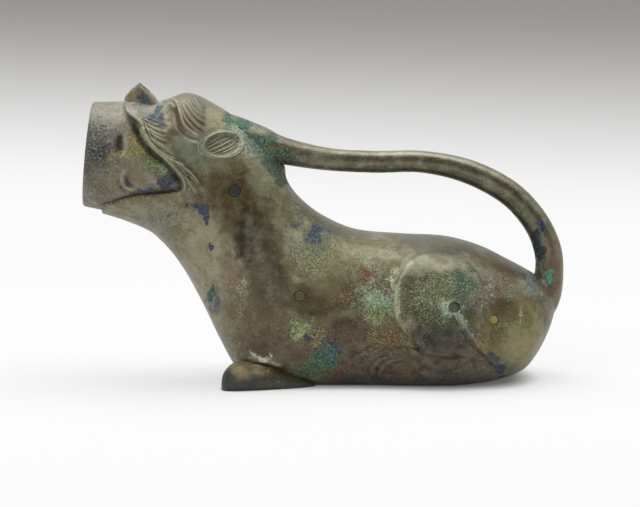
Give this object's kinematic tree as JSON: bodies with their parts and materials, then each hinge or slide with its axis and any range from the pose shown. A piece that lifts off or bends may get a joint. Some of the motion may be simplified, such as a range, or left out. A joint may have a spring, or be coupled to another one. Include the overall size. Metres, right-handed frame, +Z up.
{
  "type": "animal-shaped pitcher",
  "caption": "Cast bronze pitcher in the form of a crouching beast, with a round mouth tube held in its open jaws and its tail arched over the back as a handle.",
  "frame": {"origin": "on the table, under the middle of the length and on the plane of symmetry", "axes": "-X is the way the beast faces and its mouth opens, +Y is its right side, +Z is up"},
  "size_m": [0.2391, 0.0894, 0.1473],
  "materials": {
    "patinated_bronze": "old cast bronze with an olive brown patina and green and blue corrosion",
    "rough_bronze": "rough grey brown corroded cast bronze",
    "dark_bronze": "smooth dark worn cast bronze",
    "spacer_bronze": "small cast bronze spacers with a dark green patina"
  },
  "bodies": {
    "root": {"vessel_body": "patinated_bronze", "mouth_tube": "rough_bronze", "tail_handle": "dark_bronze", "forepaw_left": "dark_bronze", "forepaw_right": "dark_bronze", "core_spacer_neck_left": "spacer_bronze", "core_spacer_neck_right": "spacer_bronze", "core_spacer_shoulder_left": "spacer_bronze", "core_spacer_shoulder_right": "spacer_bronze", "core_spacer_haunch_left": "spacer_bronze", "core_spacer_haunch_right": "spacer_bronze", "core_spacer_rump_left": "spacer_bronze", "core_spacer_rump_right": "spacer_bronze"}
  },
  "joints": []
}
